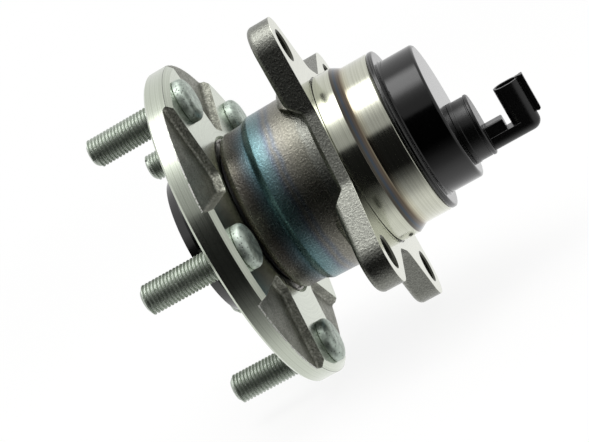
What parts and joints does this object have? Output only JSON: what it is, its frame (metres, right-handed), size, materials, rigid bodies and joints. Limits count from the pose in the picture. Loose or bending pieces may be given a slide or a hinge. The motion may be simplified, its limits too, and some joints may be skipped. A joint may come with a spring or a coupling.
{
  "type": "wheel hub bearing",
  "caption": "Rear wheel hub bearing unit with studded flange, eared outer ring for the knuckle, double ball row and capped speed sensor with connector.",
  "frame": {"origin": "centre of the flange face that the brake disc or wheel rests on", "axes": "+Y along the spin axis from the wheel towards the sensor, +Z the way the connector opens"},
  "size_m": [0.1388, 0.1578, 0.1388],
  "materials": {
    "hub_steel": "forged steel, turned bright on the flange and bosses, shot-blasted in the pockets",
    "ring_steel": "forged steel with tempering colours, ground bright on the knuckle seats",
    "bearing_steel": "hardened and ground bearing steel",
    "zinc_steel": "zinc-plated steel",
    "sheet_steel": "pressed stainless sheet",
    "black_steel": "pressed steel with gloss black coating",
    "black_plastic": "moulded glass-filled polyamide",
    "cage_plastic": "moulded polyamide",
    "seal_rubber": "nitrile rubber",
    "magnet_rubber": "magnetised rubber",
    "chip_resin": "moulded chip resin",
    "terminal_metal": "tinned brass"
  },
  "bodies": {
    "root": {"outer_ring": "ring_steel", "seal_case": "sheet_steel", "seal_lips": "seal_rubber", "sensor_cap": "black_steel", "sensor_body": "black_plastic", "sensor_chip": "chip_resin", "terminal_pins": "terminal_metal"},
    "hub": {"wheel_hub": "hub_steel", "wheel_studs": "zinc_steel", "hub_nut": "zinc_steel", "inner_ring": "bearing_steel", "encoder_carrier": "sheet_steel", "encoder_magnet": "magnet_rubber", "seal_slinger": "sheet_steel"},
    "outboard_row": {"outboard_cage": "cage_plastic", "outboard_ball_01": "bearing_steel", "outboard_ball_02": "bearing_steel", "outboard_ball_03": "bearing_steel", "outboard_ball_04": "bearing_steel", "outboard_ball_05": "bearing_steel", "outboard_ball_06": "bearing_steel", "outboard_ball_07": "bearing_steel", "outboard_ball_08": "bearing_steel", "outboard_ball_09": "bearing_steel", "outboard_ball_10": "bearing_steel", "outboard_ball_11": "bearing_steel", "outboard_ball_12": "bearing_steel"},
    "inboard_row": {"inboard_cage": "cage_plastic", "inboard_ball_01": "bearing_steel", "inboard_ball_02": "bearing_steel", "inboard_ball_03": "bearing_steel", "inboard_ball_04": "bearing_steel", "inboard_ball_05": "bearing_steel", "inboard_ball_06": "bearing_steel", "inboard_ball_07": "bearing_steel", "inboard_ball_08": "bearing_steel", "inboard_ball_09": "bearing_steel", "inboard_ball_10": "bearing_steel", "inboard_ball_11": "bearing_steel", "inboard_ball_12": "bearing_steel"}
  },
  "joints": [
    {"name": "hub_spin", "type": "hinge", "parent": "root", "child": "hub", "pos_m": [0, 0, 0], "axis": [0, 1, 0], "continuous": true},
    {"name": "outboard_row_spin", "type": "hinge", "parent": "root", "child": "outboard_row", "pos_m": [0, 0.025, 0], "axis": [0, 1, 0], "continuous": true},
    {"name": "inboard_row_spin", "type": "hinge", "parent": "root", "child": "inboard_row", "pos_m": [0, 0.062, 0], "axis": [0, 1, 0], "continuous": true}
  ],
  "couplings": [
    {"joint": "outboard_row_spin", "follows": "hub_spin", "ratio": 0.4097},
    {"joint": "inboard_row_spin", "follows": "hub_spin", "ratio": 0.4097}
  ]
}
